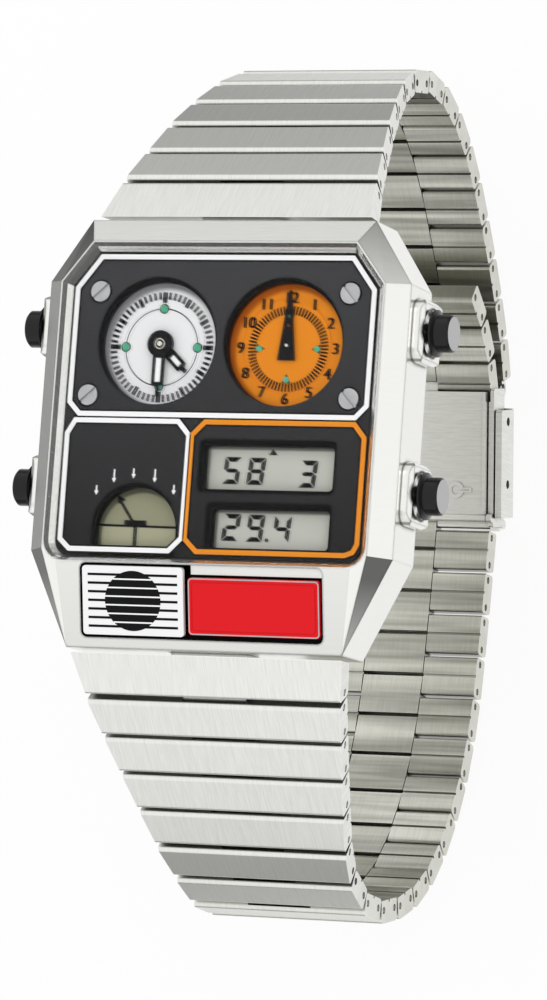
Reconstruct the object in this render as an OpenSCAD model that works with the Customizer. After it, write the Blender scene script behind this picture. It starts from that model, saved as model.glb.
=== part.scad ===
// An analogue and digital wristwatch on a folded-link steel bracelet, closed.
// Millimetres. Z points out of the dial, Y to 12 o'clock, X to 3 o'clock.
// The origin is the middle of the case back's outer face.

/* [Case] */
// width across the flat sides
case_w = 33; // [32.4:0.2:34]
// length from the 12 end to the 6 end
case_l = 36.64; // [36.2:0.2:38]
// width and length of the upper corner cuts
upper_cut_w = 3.54; // [3:0.1:4]
upper_cut_l = 5.35; // [5:0.1:6]
// width and length of the lower corner cuts
lower_cut_w = 3.95; // [3.4:0.1:4.2]
lower_cut_l = 8.16; // [7.6:0.1:8.6]
// inward slope of the belly under the side walls
belly_in = 1.1; // [0.8:0.1:1.2]
belly_h = 1.4; // [1:0.1:1.6]
// height of the side wall's upper edge
wall_z = 7.15; // [7:0.05:7.4]
// height of the bezel's upper edge
bezel_z = 8.85; // [8.7:0.05:9.2]

/* [Bezel] */
// slope width at the sides and at the 12 end
bezel_side = 1.71; // [1.5:0.05:1.9]
bezel_end = 2.06; // [1.8:0.05:2.3]
// length of the sloping panel at the 6 end
panel_l = 7.12; // [6.9:0.05:7.4]
// corner cuts of the bezel's upper edge
pane_cut_w = 2.73; // [2.5:0.05:3]
pane_cut_l = 3.5; // [3.2:0.1:3.8]
panel_cut_w = 1.39; // [1.2:0.05:1.5]
panel_cut_l = 1.1; // [0.9:0.05:1.3]
// flat land round the opening
land = 0.15; // [0.1:0.05:0.25]
// corner radius of the opening at the 6 end
pane_r = 1.9; // [1.5:0.1:2.2]
// run of the inner slope down to the dial, and its share at the 6 end
inner_slope = 0.84; // [0.7:0.02:0.95]
inner_slope_share = 0.72; // [0.6:0.02:0.9]
// width of the ledge under the dial plate
ledge = 0.75; // [0.5:0.05:0.9]

/* [Dial] */
// height of the dial plate's face and its thickness
dial_z = 8; // [7.9:0.05:8.1]
dial_t = 0.8; // [0.7:0.05:0.9]
// centre of the two round windows and their radius
sub_x = 5.76; // [5.7:0.02:5.9]
sub_y = 7.64; // [7.4:0.05:7.9]
sub_r = 5.24; // [5:0.02:5.26]
// lap of glasses and small dials under the plate
lap = 0.45; // [0.3:0.05:0.45]
// upper display window: left, right, bottom, top
upper_lcd = [-0.75, 11, -4.7, -0.98];
// lower display window: left, right, bottom, top
lower_lcd = [0.32, 10.95, -9.7, -6.35];
// fan window: centre across, centre along, radius, lower edge
fan = [-6.6, -8.37, 3.7, -9.8];
// corner radius of the display windows
window_r = 0.4; // [0.2:0.05:0.6]
// dial screws: upper and lower pairs
screw_upper = [11.41, 12.01];
screw_lower = [11.91, 3.12];
screw_r = 0.88; // [0.7:0.02:0.96]
screw_h = 0.45; // [0.35:0.05:0.5]
screw_shank_r = 0.4; // [0.3:0.05:0.5]
slot_w = 0.26; // [0.2:0.02:0.35]

/* [Crystal] */
crystal_z = 8.3; // [8.25:0.05:8.4]
crystal_t = 0.5; // [0.4:0.05:0.5]

/* [Hands] */
hand_t = 0.14; // [0.1:0.02:0.16]
hour_l = 3.35; // [3.1:0.05:3.5]
minute_l = 4.5; // [4:0.05:4.7]
// half widths of the hands' wide and narrow parts, where the wide part ends
hour_w = [0.5, 0.17, 2.8];
minute_w = [0.55, 0.11, 3.5];
// slots in the wide parts: half width, start and end
hour_slot = [0.23, 1.5, 2.6];
minute_slot = [0.27, 1.2, 3.3];
zone_l = 4.7; // [4.2:0.05:4.8]
// second zone hand: half widths at the tail and the tip, its tail and holes
zone_w = 0.8; // [0.6:0.05:0.9]
zone_tip = 0.1; // [0.08:0.01:0.15]
zone_tail = 1.25; // [0.8:0.05:1.3]
zone_holes = [0.36, 0.53];
zone_hole_r = 0.13; // [0.1:0.01:0.15]
// clockwise angle of the hour hand from 12
hour_angle = 134; // [0:1:359]
arbor_r = 0.3; // [0.25:0.01:0.34]
sleeve_r = 0.55; // [0.5:0.01:0.6]
boss_r = 1.15; // [0.8:0.05:1.15]

/* [Plates on the sloping panel] */
plate_t = 0.42; // [0.35:0.01:0.5]
plate_sink = 0.34; // [0.25:0.01:0.38]
plate_r = 0.3; // [0.2:0.05:0.5]
// dark gap round the plates and its depth
plate_gap = 0.24; // [0.2:0.02:0.3]
plate_moat = 0.8; // [0.6:0.05:0.85]
// left, right, far and near edge along the slope
grille = [-10.88, -1.66, -6.15, -0.3];
red = [-1.22, 10.66, -5.95, -1.12];
grille_lines = 7; // [5:1:9]
grille_line_w = 0.22; // [0.15:0.01:0.3]

/* [Buttons] */
button_y_upper = 9.3; // [9:0.1:9.6]
button_y_lower = -4.43; // [-4.8:0.1:-4]
button_z = 4.2; // [4.1:0.05:4.4]
// how far the end face stands from the case side
button_out = 2.91; // [2.7:0.05:3.2]
button_r = 1.6; // [1.4:0.05:1.7]
collar_r = 2; // [1.9:0.05:2.1]
stem_r = 0.8; // [0.7:0.05:0.9]
// raised boss round each button: half sizes, corners, height and edge
boss_half = [2.3, 2.7]; // [2.2:0.05:2.8]
boss_corner = 1.2; // [1:0.05:1.4]
boss_out = 1; // [0.8:0.05:1.1]
boss_edge = 0.35; // [0.25:0.05:0.4]
// counterbore that the collar moves in
boss_bore_d = 0.5; // [0.45:0.01:0.55]
button_travel = 0.6; // [0.4:0.05:0.6]
// section radius of the rubber ring on each stem
ring_r = 0.2; // [0.15:0.01:0.22]

/* [Case back and module] */
back_t = 1; // [0.9:0.05:1.1]
back_in = 1.2; // [1.15:0.05:1.4]
// its far and near edges from the middle, and its softened edge
back_high = 15.5; // [15:0.1:15.6]
back_low = 18.2; // [17.5:0.1:18.4]
back_edge = 0.35; // [0.25:0.05:0.4]
// ring groove on its outer face
back_ring_r = 9.4; // [9:0.1:10]
back_ring_w = 0.4; // [0.3:0.05:0.5]
back_screw_r = 0.72; // [0.6:0.02:0.75]
back_screw_upper = [13.1, 14.3];
back_screw_lower = [12.3, -12.7];
back_screw_l = 3; // [2.4:0.1:3.4]
back_screw_top = 0.48; // [0.4:0.02:0.5]
gasket_w = 0.4; // [0.3:0.05:0.45]
gasket_t = 0.5; // [0.4:0.05:0.6]
board_t = 0.8; // [0.6:0.05:1]
board_z = 3.4; // [3.3:0.05:3.6]
battery_r = 4.75; // [4.5:0.05:4.8]
battery_h = 2.15; // [1.9:0.05:2.2]
battery_at = [-6.3, 3];
buzzer_r = 5.5; // [5:0.1:5.6]
buzzer_t = 0.3; // [0.2:0.05:0.35]
buzzer_at = [6.4, 0.5];
post_r = 2.3; // [2:0.1:2.4]

/* [Bracelet] */
// distance from one bar to the next
pitch = 3.9; // [3.88:0.01:3.95]
bar_l = 3.6; // [3.55:0.01:3.6]
// how far a bar reaches back past its near pin
bar_back = 0.55; // [0.5:0.01:0.57]
// outer and inner face from the pin line
face_out = 1.15; // [1.1:0.01:1.2]
face_in = 0.85; // [0.8:0.01:0.88]
bar_r = 0.36; // [0.3:0.01:0.4]
// from the near pin to the far pin of one bar
pin_step = 2.5; // [2.45:0.01:2.55]
pin_r = 0.3; // [0.27:0.01:0.32]
// half widths at the case and at the clasp, and the length of the taper
wide_half = 12.4; // [12:0.1:12.5]
narrow_half = 8; // [7.8:0.05:8]
taper_l = 24; // [20:0.5:30]
// connector: half width, half length, half height round its pins
tie_half = 2.85; // [2.6:0.05:3]
tie_long = 1.75; // [1.7:0.01:1.77]
tie_r = 0.5; // [0.46:0.01:0.52]
seam_w = 0.24; // [0.15:0.01:0.3]
seam_d = 0.2; // [0.1:0.01:0.25]
// first pivot beyond each case end, along and up
first_y = 22.2; // [22.2:0.05:22.5]
first_z = 3.1; // [3:0.05:3.1]
// spring bar centre, along and up
spring_y = 17.1; // [17:0.05:17.2]
spring_z = 4.5; // [4.4:0.05:4.6]
spring_r = 0.75; // [0.6:0.05:0.8]
tip_r = 0.4; // [0.35:0.05:0.5]
tip_l = 0.9; // [0.7:0.1:1.2]
knuckle_half = 3.6; // [3.4:0.1:3.8]
knuckle_r = 1.1; // [1:0.05:1.15]
// gap from the case end to the end links
end_gap = 0.33; // [0.33:0.01:0.45]
// down angle of the end links, and the bend before each bar
upper_start = 35; // [34:0.5:36]
lower_start = 32; // [31:0.5:33]
upper_bends = [8, 1, 7, 5, 10.5, 14, 18, 15.5, 12, 8.5, 5.5, 2, 3.5, 3, 7.5];
lower_bends = [9.5, 1, 1, 1.5, 9, 11, 20, 15, 9.5, 13, 12.5, 10.5, 8.5, 8.5, 6.5, 5, 1.5, 1, 1,
               12, 0, 0, 18, 15, 12];
// last bar of each group of nearly straight bars
upper_groups = [[10, 11], [12, 13], [14, 15]];
lower_groups = [[13, 14], [15, 16], [17, 19]];

/* [Clasp] */
box_wall = 0.5; // [0.4:0.05:0.5]
box_l = 12.2; // [12:0.1:12.4]
box_plate = [1.2, 1.5];
box_deep = 1.2; // [1:0.05:1.3]
cover_plate = [1.6, 1.95];
cover_half = 9.2; // [9.1:0.05:9.4]
cheek_t = 0.6; // [0.5:0.05:0.6]
cheek_deep = 1.15; // [1:0.05:1.2]
cover_hinge = [-0.2, 1.7];
lock_hinge = [0.5, -1.42];
barrel_r = 0.38; // [0.34:0.01:0.4]
clasp_pin_r = 0.22; // [0.18:0.01:0.24]
lock_t = 0.25; // [0.2:0.01:0.3]
lock_l = 11.4; // [11:0.1:11.6]
lock_half = 7.85; // [7.7:0.05:7.86]
lock_lip = 0.4; // [0.2:0.05:0.5]
// keyhole stud on the lock plate: across and along
stud_at = [5, 3];
stud_r = 0.75; // [0.6:0.05:0.9]
hook_gap = 0.14; // [0.1:0.01:0.18]
hook_t = 0.34; // [0.3:0.01:0.36]
// edges of the hook's mouth, as angles from the bracelet's run
mouth = [-34, -130];
// holes along each cheek, their height and radius
cheek_holes = [3.5, 9.2];
cheek_hole_w = 0.5; // [0.3:0.05:0.7]
cheek_hole_r = 0.4; // [0.3:0.02:0.45]

/* [Clearances] */
fit = 0.05; // [0.03:0.01:0.06]
run_fit = 0.03; // [0.02:0.005:0.04]
pin_fit = 0.02; // [0.015:0.005:0.03]

/* [Hidden] */
overrun = 0.02;
$fn = 48;
arc_step = 15;
mouth_step = 32;
half = case_w / 2;
end = case_l / 2;
pane_half = half - bezel_side;
pane_top = end - bezel_end;
pane_low = end - panel_l;
dial_under = dial_z - dial_t;
carrier_z = dial_under - 0.8 * dial_t / 0.8;
housing_h = carrier_z - back_t;
panel_angle = atan((bezel_z - wall_z) / panel_l);
upper_len = norm([upper_cut_w, upper_cut_l]);
lower_len = norm([lower_cut_w, lower_cut_l]);
unx = upper_cut_l / upper_len;
uny = upper_cut_w / upper_len;
lnx = lower_cut_l / lower_len;
lny = lower_cut_w / lower_len;
pane_len = norm([pane_cut_w, pane_cut_l]);
pnx = pane_cut_l / pane_len;
pny = pane_cut_w / pane_len;
bar_end = bar_l - bar_back;
tie_mid = (pin_step + pitch) / 2;
pocket_half = tie_half + 0.08;
notch_half = knuckle_half + 0.12;
end_back = 5.3;
link_top = face_out + face_in;
recess = [grille[0] - plate_gap, red[1] + plate_gap, grille[2] - plate_gap, grille[3] + plate_gap];
inner_pane = inner_slope + ledge;
last_upper = len(upper_bends);
clasp_bar = 20;
tail_start = 3 * pitch - bar_back - 0.15;
collar_seat = half + boss_out - boss_bore_d + button_travel + 0.1;
upper_count = upper_groups[0][0];
lower_count = lower_groups[0][0];

// Case outline with every side moved in by d.
function corner_u(d) = [half - upper_cut_w - d * (1 - uny) / unx, end - d];
function side_u(d) = [half - d, end - upper_cut_l - d * (1 - unx) / uny];
function side_l(d) = [half - d, -end + lower_cut_l + d * (1 - lnx) / lny];
function corner_l(d) = [half - lower_cut_w - d * (1 - lny) / lnx, -end + d];
function twin(p) = [-p.x, p.y];
function outline(d) = [corner_u(d), side_u(d), side_l(d), corner_l(d),
                       twin(corner_l(d)), twin(side_l(d)), twin(side_u(d)), twin(corner_u(d))];

// Bracelet: angle and pivot of bar n on a side, and its half width.
function bends(side) = side > 0 ? upper_bends : lower_bends;
function start(side) = side > 0 ? -upper_start : -lower_start;
function lean(side, n, k = 0) =
    k >= n ? start(side) : lean(side, n, k + 1) - bends(side)[k];
function pivot(side, n) = n <= 1 ? [first_y, first_z]
    : pivot(side, n - 1) + pitch * [cos(lean(side, n - 1)), sin(lean(side, n - 1))];
function half_at(n, s) = max(narrow_half, wide_half
    - (wide_half - narrow_half) / taper_l * (end_back - 0.2 + pitch * (n - 1) + s));
function turned(p, a) = [p.x * cos(a) - p.y * sin(a), p.x * sin(a) + p.y * cos(a)];
// the upper strand's last pin as the clasp sees it
hook_world = pivot(1, last_upper) + pitch * [cos(lean(1, last_upper)), sin(lean(1, last_upper))];
hook = turned([-hook_world.x, hook_world.y] - pivot(-1, clasp_bar), -lean(-1, clasp_bar));

module slab(z, t = overrun) translate([0, 0, z]) linear_extrude(t) children();
module both_x() { children(); mirror([1, 0, 0]) children(); }
module across(h) rotate([90, 0, 90]) translate([0, 0, -h]) linear_extrude(2 * h) children();
module box(r) translate([r[0], r[2]]) square([r[1] - r[0], r[3] - r[2]]);
module soft_box(r, c) {
    translate([r[0] + c, r[2]]) square([r[1] - r[0] - 2 * c, r[3] - r[2]]);
    translate([r[0], r[2] + c]) square([r[1] - r[0], r[3] - r[2] - 2 * c]);
    for (x = [r[0] + c, r[1] - c], y = [r[2] + c, r[3] - c]) translate([x, y]) circle(c);
}
function grown(r, d) = [r[0] - d, r[1] + d, r[2] - d, r[3] + d];

// The opening's outline, moved in by d, and by less at the 6 end.
module pane(d) {
    w = pane_half - d;
    top = pane_top - d;
    low = -pane_low + inner_slope_share * d;
    r = pane_r - 0.7 * d;
    cx = pane_half - pane_cut_w - d * (1 - pny) / pnx;
    cy = pane_top - pane_cut_l - d * (1 - pnx) / pny;
    polygon(concat([[cx, top], [w, cy]],
        [for (a = [0 : arc_step : 90]) [w - r + r * cos(a), low + r - r * sin(a)]],
        [for (a = [90 : -arc_step : 0]) [r - w - r * cos(a), low + r - r * sin(a)]],
        [[-w, cy], [-cx, top]]));
}
module on_panel() translate([0, -pane_low, bezel_z]) rotate([panel_angle, 0, 0]) children();
module from_side(side, y) translate([0, y, button_z])
    mirror([side < 0 ? 1 : 0, 0, 0]) rotate([0, 90, 0]) children();
module at_buttons() for (s = [-1, 1], y = [button_y_upper, button_y_lower]) from_side(s, y)
    children();
module at_dial_screws() both_x() for (p = [screw_upper, screw_lower]) translate(p) children();
module at_back_screws() both_x() for (p = [back_screw_upper, back_screw_lower])
    translate(p) children();

module case_body() {
    hull() {
        slab(back_t) polygon(outline(belly_in));
        slab(back_t + belly_h) polygon(outline(0));
    }
    slab(back_t + belly_h, wall_z - back_t - belly_h) polygon(outline(0));
    hull() {
        slab(wall_z - overrun) polygon(outline(0));
        slab(bezel_z - overrun) polygon([
            [pane_half - pane_cut_w, pane_top], [pane_half, pane_top - pane_cut_l],
            [pane_half, -pane_low + panel_cut_l], [pane_half - panel_cut_w, -pane_low],
            [panel_cut_w - pane_half, -pane_low], [-pane_half, -pane_low + panel_cut_l],
            [-pane_half, pane_top - pane_cut_l], [pane_cut_w - pane_half, pane_top]]);
    }
}
module case_ends() {
    for (m = [0, 1]) mirror([0, m, 0]) {
        translate([-notch_half, spring_y - knuckle_r - 0.2, 0])
            cube([2 * notch_half, end, spring_z + knuckle_r + 0.45]);
        translate([0, spring_y, spring_z]) rotate([0, 90, 0])
            cylinder(r = tip_r + pin_fit, h = 2 * (notch_half + tip_l), center = true);
    }
}
// A side of the boss, from its root inside the case to its softened edge.
module boss_side(h) linear_extrude(2 * case_w, center = true)
    polygon([[-h, -1], [h, -1], [h, boss_out - boss_edge], [h - boss_edge, boss_out],
             [boss_edge - h, boss_out], [-h, boss_out - boss_edge]]);
module boss() translate([0, 0, half]) intersection() {
    slab(-1, 1 + boss_out)
        soft_box([-boss_half.x, boss_half.x, -boss_half.y, boss_half.y], boss_corner);
    rotate([90, 0, 0]) boss_side(boss_half.x);
    rotate([90, 0, 90]) boss_side(boss_half.y);
}
module case() color("silver") difference() {
    union() {
        case_body();
        at_buttons() boss();
    }
    hull() {
        slab(bezel_z) pane(land);
        slab(dial_z) pane(inner_slope);
    }
    slab(dial_under, dial_z - dial_under + overrun) pane(inner_slope);
    slab(0, dial_z) pane(inner_pane);
    slab(0, back_t + gasket_t) difference() {
        pane(inner_pane - 0.1 - gasket_w);
        pane(inner_pane - 0.1);
    }
    case_ends();
    at_buttons() {
        translate([0, 0, half + boss_out - boss_bore_d])
            cylinder(r = collar_r + 2 * fit, h = 2 * boss_bore_d);
        translate([0, 0, pane_half - inner_pane - overrun]) cylinder(r = stem_r + fit, h = half);
        translate([0, 0, half - 1.7]) cylinder(r = stem_r + 2 * ring_r + fit, h = 2.5 * ring_r,
            center = true);
    }
    at_back_screws() cylinder(r = screw_shank_r, h = back_t + back_screw_l);
    on_panel() {
        slab(-plate_sink, 1) soft_box(recess, plate_r + plate_gap);
        slab(-plate_moat, 1) difference() {
            soft_box(recess, plate_r + plate_gap);
            soft_box(grown(grille, -0.25), plate_r);
            soft_box(grown(red, -0.25), plate_r);
        }
    }
}
module back_plan(d) intersection() {
    polygon(outline(back_in + d));
    box([-half, half, d - back_low, back_high - d]);
}
module case_back() color("silver") difference() {
    union() {
        hull() {
            slab(0) back_plan(back_edge);
            slab(back_edge - overrun) back_plan(0);
        }
        slab(back_edge - overrun, back_t - back_edge + overrun) back_plan(0);
    }
    at_back_screws() {
        translate([0, 0, -overrun]) cylinder(r = back_screw_r + fit, h = 0.5);
        cylinder(r = screw_shank_r + fit, h = 2 * back_t);
    }
    translate([0, 1, -overrun]) difference() {
        cylinder(r = back_ring_r, h = back_ring_w / 3);
        translate([0, 0, -overrun]) cylinder(r = back_ring_r - back_ring_w, h = back_ring_w);
    }
}
module slotted(r, shank, h, l, turn) difference() {
    union() { cylinder(r = r, h = h); translate([0, 0, -l]) cylinder(r = shank, h = l + overrun); }
    rotate(turn) translate([-r - 1, -slot_w / 2, 0.55 * h]) cube([2 * r + 2, slot_w, h]);
}
module case_back_screws() color("gray") at_back_screws()
    translate([0, 0, back_screw_top]) mirror([0, 0, 1])
        slotted(back_screw_r, screw_shank_r - pin_fit, back_screw_top - 0.06, back_screw_l, 40);
module case_back_gasket() color("black") slab(back_t, gasket_t) difference() {
    pane(inner_pane - 0.1 - gasket_w + fit);
    pane(inner_pane - 0.1 - fit);
}
module crystal() color("white", 0.3) {
    rise = bezel_z - dial_z;
    run = inner_slope - land;
    hull() {
        slab(crystal_z) pane(inner_slope - run * (crystal_z - dial_z) / rise + fit);
        slab(crystal_z + crystal_t - overrun)
            pane(inner_slope - run * (crystal_z + crystal_t - dial_z) / rise + fit);
    }
}
module fan_shape(d) {
    translate([fan[0], fan[1]]) circle(fan[2] + d);
    box([fan[0] - fan[2] - d, fan[0] + fan[2] + d, fan[3] - d, fan[1]]);
}
module dial_plate() color("dimgray") difference() {
    slab(dial_under, dial_t) pane(inner_slope + fit);
    slab(0, bezel_z) {
        both_x() translate([sub_x, sub_y]) circle(sub_r);
        soft_box(upper_lcd, window_r);
        soft_box(lower_lcd, window_r);
        intersection() { fan_shape(0); box([-half, half, fan[3], end]); }
    }
    at_dial_screws() {
        cylinder(r = screw_shank_r + fit, h = bezel_z);
        slab(dial_z - screw_h) circle(screw_r + fit);
        translate([0, 0, dial_z - screw_h]) cylinder(r = screw_r + fit, h = 1);
    }
}
module dial_screws() color("silver") for (x = [-1, 1], p = [screw_upper, screw_lower])
    translate([x * p.x, p.y, dial_z - screw_h])
        slotted(screw_r, screw_shank_r, screw_h + 0.08, 1.9, x > 0 ? 132 : 42);
module sub_dial(x, hole) translate([x, sub_y, carrier_z]) difference() {
    cylinder(r = sub_r + lap, h = dial_under - carrier_z);
    translate([0, 0, -1]) cylinder(r = hole, h = 3);
    translate([0, 0, dial_under - carrier_z - 0.08]) difference() {
        cylinder(r = 0.78 * sub_r, h = 1);
        translate([0, 0, -1]) cylinder(r = 0.74 * sub_r, h = 3);
    }
}
module time_sub_dial() color("white") sub_dial(-sub_x, sleeve_r + fit);
module zone_sub_dial() color("orange") sub_dial(sub_x, arbor_r + fit);
module baton(l, w, slot) difference() {
    polygon([[-w[0], 0], [w[0], 0], [w[0], w[2]], [w[1], w[2] + w[1]], [w[1], l],
             [-w[1], l], [-w[1], w[2] + w[1]], [-w[0], w[2]]]);
    box([-slot[0], slot[0], slot[1], slot[2]]);
}
module hour_hand() color("black") translate([-sub_x, sub_y, dial_under + 0.12]) difference() {
    rotate(-hour_angle) union() {
        slab(0, hand_t) baton(hour_l, hour_w, hour_slot);
        cylinder(r = boss_r, h = hand_t);
        translate([0, 0, -1.6]) cylinder(r = sleeve_r, h = 1.6 + hand_t);
    }
    translate([0, 0, -3]) cylinder(r = arbor_r + 2 * run_fit, h = 6);
}
module minute_hand() color("black")
    translate([-sub_x, sub_y, dial_under + 0.12 + hand_t + 0.1]) rotate(180) {
    slab(0, hand_t) baton(minute_l, minute_w, minute_slot);
    cylinder(r = boss_r, h = hand_t);
    translate([0, 0, -2.2]) cylinder(r = arbor_r, h = 2.2 + hand_t);
}
module zone_hand() color("black") translate([sub_x, sub_y, dial_under + 0.14]) {
    difference() {
        slab(0, hand_t) polygon([[-zone_tip, zone_l], [zone_tip, zone_l],
                                 [zone_w, -zone_tail], [-zone_w, -zone_tail]]);
        for (k = zone_holes) translate([0, k * zone_l, -1]) cylinder(r = zone_hole_r, h = 3);
    }
    translate([0, 0, -1.6]) cylinder(r = arbor_r, h = 1.6 + hand_t + 0.08);
}
module lcd_glass() color("olive") slab(carrier_z, dial_under - carrier_z) {
    box(grown(upper_lcd, 0.6 * lap));
    box([lower_lcd[0] - 0.6 * lap, lower_lcd[1] + 0.6 * lap,
         lower_lcd[2] - 0.2, lower_lcd[3] + 0.6 * lap]);
}
module fan_lcd() color("darkolivegreen") slab(carrier_z, dial_under - carrier_z)
    box([fan[0] - fan[2] - 0.6 * lap, fan[0] + fan[2] + 0.6 * lap,
         fan[3] - 0.15, fan[1] + fan[2] + lap]);
module speaker_grille() color("white") on_panel() difference() {
    slab(-plate_sink, plate_t) soft_box(grille, plate_r);
    for (k = [0 : grille_lines - 1]) {
        y = grille[2] + (grille[3] - grille[2]) * (k + 1) / (grille_lines + 1);
        translate([grille[0] + 0.5, y - grille_line_w / 2, plate_t - plate_sink - 0.1])
            cube([grille[1] - grille[0] - 1, grille_line_w, 1]);
    }
}
module red_plate() color("red") on_panel() difference() {
    slab(-plate_sink, plate_t) soft_box(red, plate_r);
    slab(plate_t - plate_sink - 0.06, 1) difference() {
        soft_box(grown(red, -0.3), plate_r);
        soft_box(grown(red, -0.42), plate_r);
    }
}
module ring_box(r, t) difference() { box(grown(r, t)); box(r); }
module module_housing() color("dimgray") difference() {
    union() {
        difference() {
            slab(back_t, housing_h) pane(inner_pane + 0.1);
            slab(board_z, dial_z) pane(inner_pane + 0.9);
        }
        both_x() translate([sub_x, sub_y, board_z - overrun])
            cylinder(r = post_r, h = carrier_z - board_z + overrun);
        intersection() {
            slab(board_z + board_t + 0.2, carrier_z - board_z - board_t - 0.2) {
                ring_box(grown(upper_lcd, -0.1), 0.7);
                ring_box([lower_lcd[0], lower_lcd[1], lower_lcd[2] - 0.5, lower_lcd[3]], 0.7);
                ring_box([fan[0] - fan[2], fan[0] + fan[2], fan[3] - 0.4, fan[1] + fan[2]], 0.6);
                box([fan[0] + fan[2], lower_lcd[0], fan[3] - 0.4, fan[3] + 0.4]);
                box([3, 8, lower_lcd[3], upper_lcd[2]]);
            }
            slab(0, dial_z) pane(inner_pane + 0.1);
        }
    }
    translate([battery_at.x, battery_at.y, -1]) cylinder(r = battery_r + fit, h = board_z + 2);
    translate([buzzer_at.x, buzzer_at.y, -1]) cylinder(r = buzzer_r + 0.1, h = back_t + 1.4);
    translate([-sub_x, sub_y, dial_under - 2.7]) cylinder(r = sleeve_r + fit, h = 5);
    translate([sub_x, sub_y, dial_under - 2.7]) cylinder(r = arbor_r + fit, h = 5);
    at_buttons() translate([-1.6, -1.6, half - 5.4]) cube([3.2, 3.2, 5]);
    at_dial_screws() slab(board_z, dial_z) circle(screw_shank_r + fit);
}
module circuit_board() color("green") {
    slab(board_z, board_t) difference() {
        pane(inner_pane + 1.0);
        both_x() translate([sub_x, sub_y]) circle(post_r + 0.1);
        for (x = [-1, 1], y = [button_y_upper, button_y_lower])
            translate([x * half, y]) square([11, 3.3], center = true);
        at_dial_screws() circle(screw_shank_r + 0.2);
    }
    slab(board_z + board_t - overrun, 0.9) {
        box([3, 7.5, -4, -1.6]);
        box([-8, -5.2, -8.5, -7.3]);
        box([2.5, 4, -8.8, -7.4]);
    }
}
module battery() color("silver") translate([battery_at.x, battery_at.y, back_t]) {
    cylinder(r = battery_r - 0.4, h = battery_h);
    translate([0, 0, 0.25]) cylinder(r = battery_r, h = battery_h - 0.25);
}
module buzzer() color("gold") translate([buzzer_at.x, buzzer_at.y, back_t]) {
    cylinder(r = buzzer_r, h = 0.6 * buzzer_t);
    cylinder(r = 0.72 * buzzer_r, h = buzzer_t);
}
module coil_motor() color("peru") translate([0, 2.7, board_z + board_t + 1]) rotate([0, 90, 0]) {
    cylinder(r = 0.9, h = 6, center = true);
    both_z() translate([0, 0, 3 - overrun]) cylinder(r = 1, h = 0.3);
    cylinder(r = 0.35, h = 8, center = true);
}
module both_z() { children(); mirror([0, 0, 1]) children(); }

// A button along its own axis, pushed in towards the case.
module button(side, y) color("black") from_side(side, y) {
    seat = collar_seat;
    tip = half + button_out;
    translate([0, 0, seat]) cylinder(r1 = collar_r - 0.2, r2 = collar_r, h = 0.15);
    translate([0, 0, seat + 0.15 - overrun]) cylinder(r = collar_r, h = 0.15);
    translate([0, 0, seat + 0.3 - 2 * overrun]) cylinder(r1 = collar_r, r2 = button_r, h = 0.2);
    translate([0, 0, seat + 0.4]) cylinder(r = button_r, h = tip - seat - 0.55);
    translate([0, 0, tip - 0.15 - overrun])
        cylinder(r1 = button_r, r2 = button_r - 0.15, h = 0.15 + overrun);
    translate([0, 0, half - 4.2]) cylinder(r = stem_r, h = seat - half + 4.3);
    translate([0, 0, pane_half - inner_pane - 0.35]) cylinder(r = stem_r + 0.4, h = 0.3);
}
module button_2h() button(1, button_y_upper);
module button_4h() button(1, button_y_lower);
module button_8h() button(-1, button_y_lower);
module button_10h() button(-1, button_y_upper);
module button_seals() color("black") at_buttons() translate([0, 0, half - 1.7])
    rotate_extrude() translate([stem_r + ring_r + 0.02, 0]) circle(ring_r);

module spring_bars() color("gray") for (m = [0, 1]) mirror([0, m, 0])
    translate([0, spring_y, spring_z]) rotate([0, 90, 0]) {
        cylinder(r = spring_r, h = 2 * (notch_half - 0.06), center = true);
        cylinder(r = tip_r, h = 2 * (notch_half + tip_l - 0.1), center = true);
        both_z() translate([0, 0, knuckle_half - 0.7]) cylinder(r = spring_r - overrun, h = 0.2);
    }

// One bar in its own frame: Y along the bracelet, Z out of the wrist.
module strip(n, s0, s1) linear_extrude(4 * link_top, center = true)
    polygon([[half_at(n, s0), s0], [half_at(n, s1), s1],
             [-half_at(n, s1), s1], [-half_at(n, s0), s0]]);
module bar_shape(n) difference() {
    intersection() {
        across(wide_half + 1) soft_box([-bar_back, bar_end, -face_in, face_out], bar_r);
        strip(n, -bar_back - 1, bar_end + 1);
    }
    across(pocket_half) box([-2, pitch, -2, face_out - 0.4]);
    across(wide_half + 1) for (s = [0, pin_step]) translate([s, 0]) circle(pin_r + pin_fit);
    across(wide_half + 1) translate([pin_step / 2 - seam_w / 2, -face_in - 1])
        square([seam_w, 1 + seam_d]);
}
module pin_at(s, h) translate([0, s, 0]) rotate([0, 90, 0]) cylinder(r = pin_r, h = 2 * h, center = true);
module bar_pins(n) for (s = [0, pin_step]) pin_at(s, half_at(n, s) - 0.14);
module tie(mid, closed = true) difference() {
    across(tie_half) translate([mid, 0]) {
        step = (pitch - pin_step) / 2;
        translate([-tie_long, -face_in]) square([2 * tie_long, face_in]);
        translate([-tie_long + tie_r, -tie_r]) square([2 * (tie_long - tie_r), 2 * tie_r]);
        for (k = [-1, 1]) translate([k * (tie_long - tie_r), 0]) circle(tie_r);
    }
    across(tie_half + 1) for (k = [-1, 1]) translate([mid + k * (pitch - pin_step) / 2, 0])
        circle(pin_r + (closed ? run_fit : 0));
}
module placed(side, n) mirror([0, side > 0 ? 0 : 1, 0])
    translate([0, pivot(side, n).x, pivot(side, n).y]) rotate([lean(side, n), 0, 0]) children();
module link(side, n) placed(side, n) {
    bar_shape(n);
    bar_pins(n);
    if (side < 0 || n < last_upper) tie(tie_mid);
}
module links(side, first, last) color("silver") {
    for (n = [first : last]) link(side, n);
    if (side > 0 && last == last_upper) placed(side, last) end_tie();
}
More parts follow.
